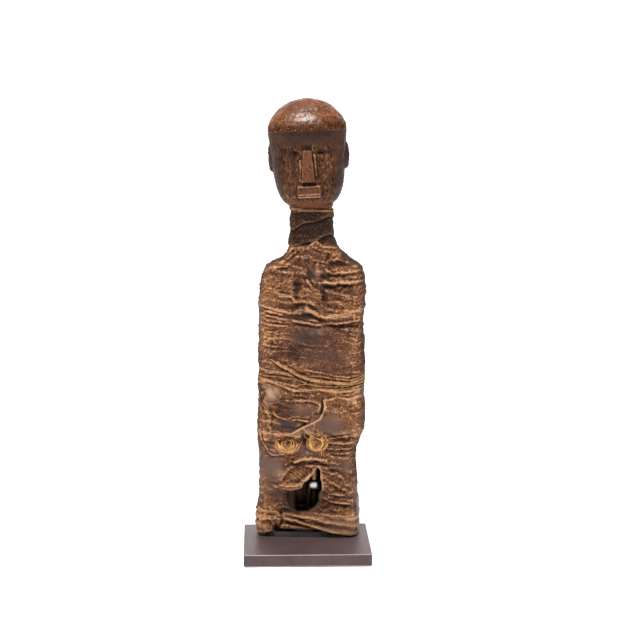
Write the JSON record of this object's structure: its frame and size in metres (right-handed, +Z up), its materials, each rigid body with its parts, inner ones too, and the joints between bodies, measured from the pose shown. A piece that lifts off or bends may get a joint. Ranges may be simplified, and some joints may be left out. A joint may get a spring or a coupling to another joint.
{
  "type": "fertility doll",
  "caption": "Carved wooden doll with a domed head and long face, bound in wrinkled dried hide, on a rod rising from a dark rectangular base block.",
  "frame": {"origin": "bottom centre of the base block's felt, on the surface it stands on", "axes": "+Z up, the doll faces -Y, +X to the viewer's right"},
  "size_m": [0.1, 0.09, 0.3583],
  "materials": {
    "felt": "dense pressed wool felt",
    "dark_steel": "satin dark patina, worn at the edges",
    "bright_steel": "brushed",
    "brass_tube": "dull drawn brass",
    "carved_wood": "hand carved, dark, rubbed to a shine on top",
    "dry_hide": "dried, wrinkled and crusted",
    "smooth_hide": "dried, smooth, greased by handling",
    "dark_hide": "dried, dark, wound tight",
    "fibre": "frayed plant fibre",
    "thong": "twisted raw hide"
  },
  "bodies": {
    "stand": {"base_block": "dark_steel", "base_felt": "felt"},
    "spindle": {"support_rod": "dark_steel", "levelling_plate": "bright_steel", "washer": "bright_steel", "retaining_nut": "bright_steel", "stop_collar": "bright_steel"},
    "doll": {"liner_tube": "brass_tube", "carved_figure": "carved_wood", "hem_roll": "dry_hide", "skirt_wrap": "dry_hide", "hip_wrap": "dry_hide", "hip_flap": "smooth_hide", "knot_left": "fibre", "knot_right": "fibre", "chest_wrap": "dry_hide", "waist_cords": "thong", "shoulder_yoke": "dry_hide", "neck_binding": "dark_hide", "back_lacing": "thong"}
  },
  "joints": [
    {"name": "mount_turn", "type": "hinge", "parent": "stand", "child": "spindle", "pos_m": [0.007, 0.02, 0.01], "axis": [0, 0, 1], "continuous": true},
    {"name": "figure_lift", "type": "slide", "parent": "spindle", "child": "doll", "axis": [0, 0, 1], "range_m": [0, 0.08]}
  ]
}
